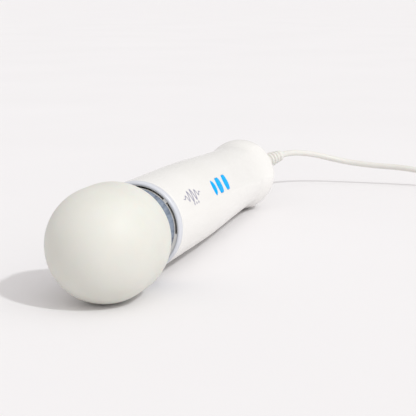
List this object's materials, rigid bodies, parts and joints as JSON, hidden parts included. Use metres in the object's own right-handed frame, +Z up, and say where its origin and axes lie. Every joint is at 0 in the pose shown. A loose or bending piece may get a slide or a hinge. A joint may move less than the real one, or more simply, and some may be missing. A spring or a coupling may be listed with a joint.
{
  "type": "handheld wand massager",
  "caption": "Corded handheld wand massager: silicone ball head on a flexible neck, motor handle with push buttons, strain relief, mains lead and plug.",
  "frame": {"origin": "centre of the bottom of the wand's bounding box, without the lead, on the table it lies on", "axes": "+X along the wand from the ball head to the tail, +Z up from the table, -Y the side the buttons face and the lead turns to"},
  "size_m": [0.4525, 0.263, 0.0642],
  "materials": {
    "silicone_cover": "matt",
    "neck_rubber": "satin",
    "shell_plastic": "gloss",
    "collar_plastic": "gloss",
    "button_plastic": "gloss",
    "inner_plastic": "matt",
    "dark_plastic": "matt",
    "mount_rubber": "matt",
    "bright_steel": "brushed",
    "motor_steel": "zinc plated",
    "copper_winding": "enamelled",
    "weight_brass": "machined",
    "magnet": "sintered",
    "board": "solder mask",
    "components": "gloss",
    "cord_vinyl": "satin",
    "wire_brown": "satin",
    "blade_metal": "nickel plated"
  },
  "bodies": {
    "handle": {"neck_socket": "inner_plastic", "neck_clamp_ring": "bright_steel", "collar_ring": "collar_plastic", "vent_ring": "shell_plastic", "handle_shell_front": "shell_plastic", "handle_shell_back": "shell_plastic", "shell_screws": "bright_steel", "motor_can": "motor_steel", "motor_magnets": "magnet", "motor_end_cap": "dark_plastic", "motor_bearing_front": "bright_steel", "motor_bearing_rear": "bright_steel", "motor_brushes": "magnet", "motor_mount_front": "mount_rubber", "motor_mount_rear": "mount_rubber", "circuit_board": "board", "board_components": "components", "tact_switches": "dark_plastic", "lead_wires": "wire_brown", "inner_cord": "cord_vinyl", "cord_clamp": "inner_plastic", "clamp_screws": "bright_steel", "strain_relief": "cord_vinyl", "power_cord": "cord_vinyl", "cord_coil": "cord_vinyl", "cord_end": "cord_vinyl", "plug_body": "cord_vinyl", "plug_blades": "blade_metal"},
    "neck": {"neck_boot": "neck_rubber"},
    "head": {"head_cover": "silicone_cover", "head_core_front": "inner_plastic", "head_core_rear": "inner_plastic", "head_bearing_front": "bright_steel", "head_bearing_rear": "bright_steel", "head_screws": "bright_steel"},
    "eccentric": {"eccentric_shaft": "bright_steel", "eccentric_weight": "weight_brass"},
    "rotor": {"motor_shaft": "bright_steel", "armature": "copper_winding", "commutator": "copper_winding", "cooling_fan": "inner_plastic", "drive_coupling": "bright_steel"},
    "faster_button": {"button_faster": "button_plastic"},
    "power_button": {"button_power": "button_plastic"},
    "slower_button": {"button_slower": "button_plastic"}
  },
  "joints": [
    {"name": "neck_pitch", "type": "hinge", "parent": "handle", "child": "neck", "pos_m": [-0.09261, 0, 0.03121], "axis": [0, 1, 0], "range_deg": [-8, 8], "stiffness_Nm_per_rad": 6, "deforming": ["neck_boot", "drive_coupling"]},
    {"name": "neck_yaw", "type": "hinge", "parent": "neck", "child": "head", "pos_m": [-0.09261, 0, 0.03121], "axis": [0.019, 0, 0.9998], "range_deg": [-8, 8], "stiffness_Nm_per_rad": 6, "deforming": ["neck_boot", "drive_coupling"]},
    {"name": "motor_spin", "type": "hinge", "parent": "handle", "child": "rotor", "pos_m": [-0.04409, 0, 0.03029], "axis": [0.9998, 0, -0.019], "continuous": true},
    {"name": "eccentric_spin", "type": "hinge", "parent": "head", "child": "eccentric", "pos_m": [-0.13408, 0, 0.032], "axis": [0.9998, 0, -0.019], "continuous": true},
    {"name": "faster_press", "type": "slide", "parent": "handle", "child": "faster_button", "axis": [-0.0091, 0.878, -0.4786], "range_m": [0, 0.0006], "stiffness_N_per_m": 1500, "springref_m": -0.0004},
    {"name": "power_press", "type": "slide", "parent": "handle", "child": "power_button", "axis": [-0.0091, 0.878, -0.4786], "range_m": [0, 0.0006], "stiffness_N_per_m": 1500, "springref_m": -0.0004},
    {"name": "slower_press", "type": "slide", "parent": "handle", "child": "slower_button", "axis": [-0.0091, 0.878, -0.4786], "range_m": [0, 0.0006], "stiffness_N_per_m": 1500, "springref_m": -0.0004}
  ],
  "couplings": [
    {"joint": "eccentric_spin", "follows": "motor_spin", "ratio": 1}
  ]
}
